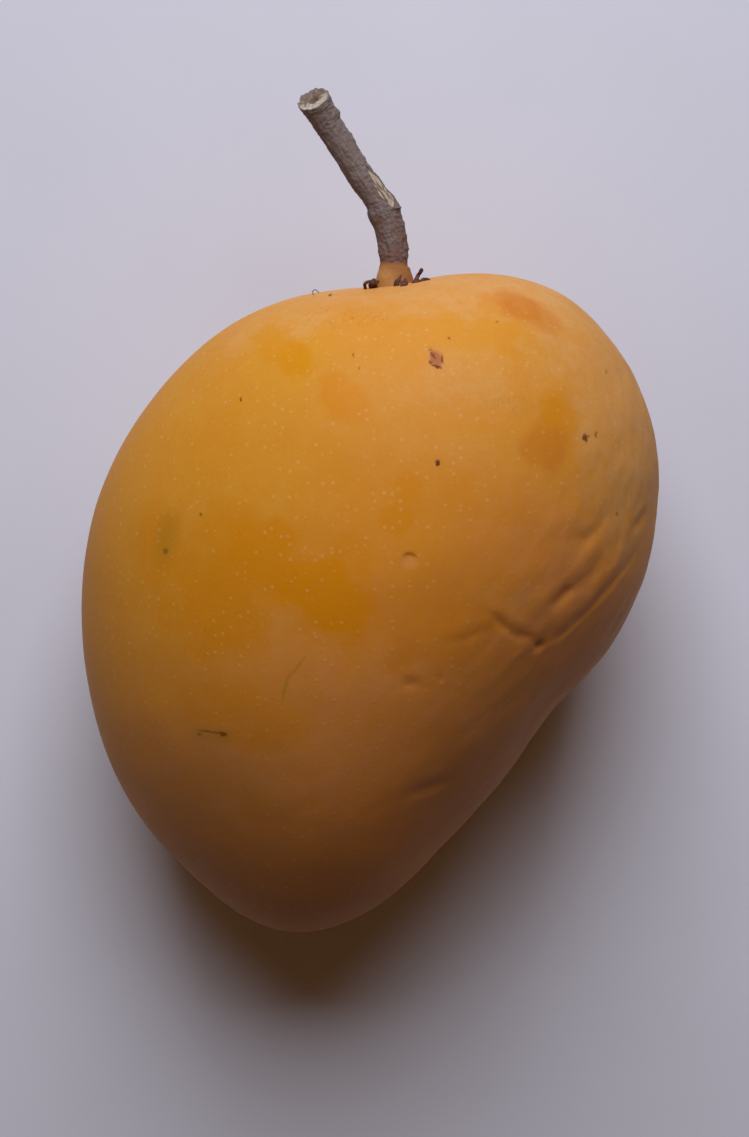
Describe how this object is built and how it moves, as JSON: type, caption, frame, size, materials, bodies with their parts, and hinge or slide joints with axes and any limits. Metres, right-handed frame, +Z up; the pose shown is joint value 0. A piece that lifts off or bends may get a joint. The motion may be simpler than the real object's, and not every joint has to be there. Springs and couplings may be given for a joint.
{
  "type": "mango",
  "caption": "Whole ripe mango lying on its flat cheek, with a short length of bent woody stalk and dry bract scales at its foot.",
  "frame": {"origin": "middle of the underside of the box round the whole object, at the level of the flat that it rests on", "axes": "+X across the fruit towards its wrinkled belly edge, +Y along the object towards the stalk, +Z up from the surface it lies on"},
  "size_m": [0.0918, 0.133, 0.0708],
  "materials": {
    "skin": "waxy fruit skin with a pale bloom, fine pale dots and rubbed amber patches",
    "bark": "dry grey-brown bark with ridges, knobs and a bare torn strip"
  },
  "bodies": {
    "root": {"fruit": "skin", "stalk": "bark"}
  },
  "joints": []
}
